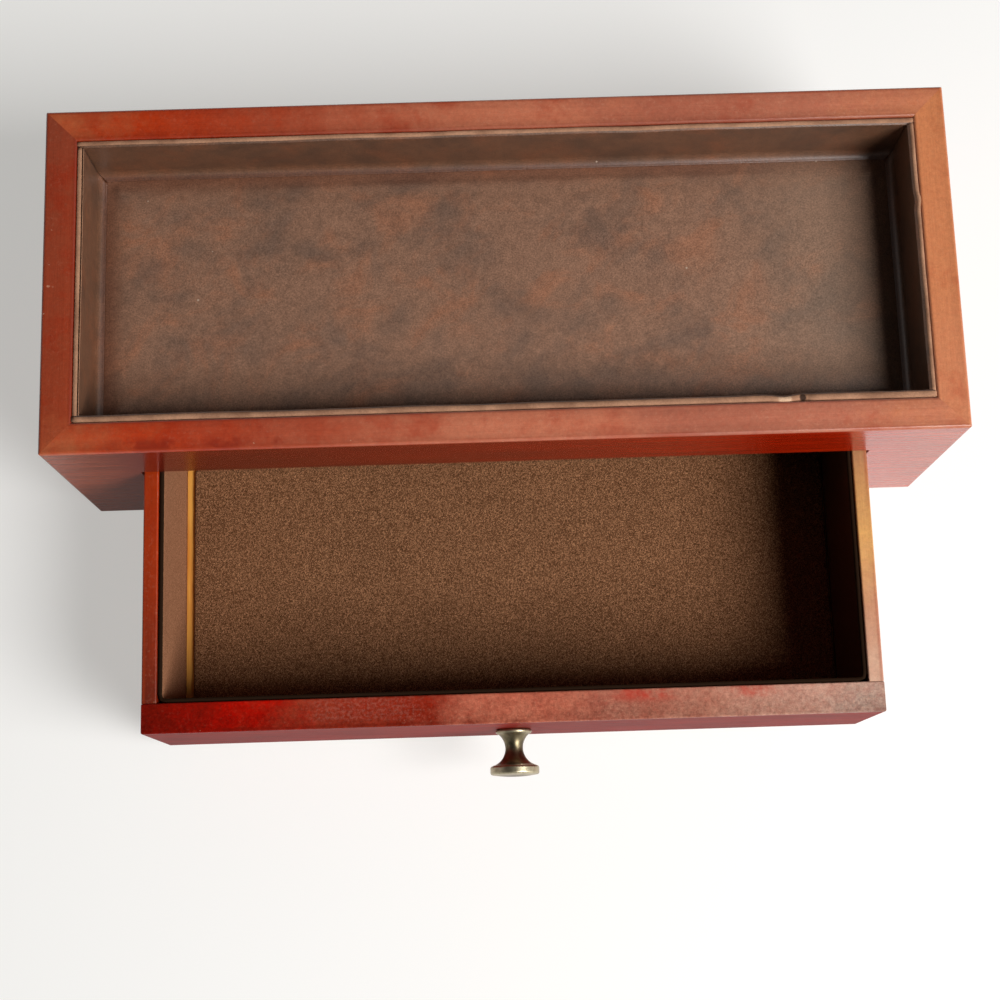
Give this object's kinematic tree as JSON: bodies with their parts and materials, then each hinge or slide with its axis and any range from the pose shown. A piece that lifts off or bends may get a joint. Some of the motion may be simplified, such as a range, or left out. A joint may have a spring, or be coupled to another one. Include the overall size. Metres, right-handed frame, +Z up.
{
  "type": "valet box",
  "caption": "Shallow lacquered wooden valet box: an open leather-lined tray on top, over a felt-lined pull-out drawer with a turned metal knob.",
  "frame": {"origin": "middle of the case's footprint, on the surface that the box stands on", "axes": "+X to the right along the front, +Y to the back, +Z up; the drawer opens towards -Y"},
  "size_m": [0.3, 0.2215, 0.0895],
  "materials": {
    "lacquered_wood": "red-brown stained wood under glossy lacquer, worn along the edges",
    "drawer_wood": "thinly stained wood, worn through to golden wood in places",
    "bare_wood": "bare pale wood",
    "leatherette": "mottled brown leatherette with a soft sheen and raw tan cut edges",
    "drawer_felt": "short brown felt with a fine fleck",
    "base_felt": "dark brown felt",
    "antique_brass": "antique brass, dark in the hollows and bright on the edges",
    "steel": "plain steel screws and pins"
  },
  "bodies": {
    "case": {"front_panel": "lacquered_wood", "back_panel": "lacquered_wood", "left_side": "lacquered_wood", "right_side": "lacquered_wood", "mitre_splines": "bare_wood", "base_board": "bare_wood", "base_screws": "steel", "base_felt": "base_felt", "left_runner": "bare_wood", "right_runner": "bare_wood", "tray_board": "bare_wood", "tray_pad": "leatherette", "tray_liner_front": "leatherette", "tray_liner_back": "leatherette", "tray_liner_left": "leatherette", "tray_liner_right": "leatherette"},
    "drawer": {"drawer_front": "lacquered_wood", "drawer_left_side": "drawer_wood", "drawer_right_side": "drawer_wood", "drawer_back": "drawer_wood", "drawer_bottom": "bare_wood", "drawer_dowels": "bare_wood", "drawer_bottom_pins": "steel", "drawer_felt_floor": "drawer_felt", "drawer_felt_band": "drawer_felt", "drawer_knob": "antique_brass", "knob_screw": "steel"}
  },
  "joints": [
    {"name": "drawer_slide", "type": "slide", "parent": "case", "child": "drawer", "axis": [0, -1, 0], "range_m": [-0.0875, 0.008]}
  ]
}
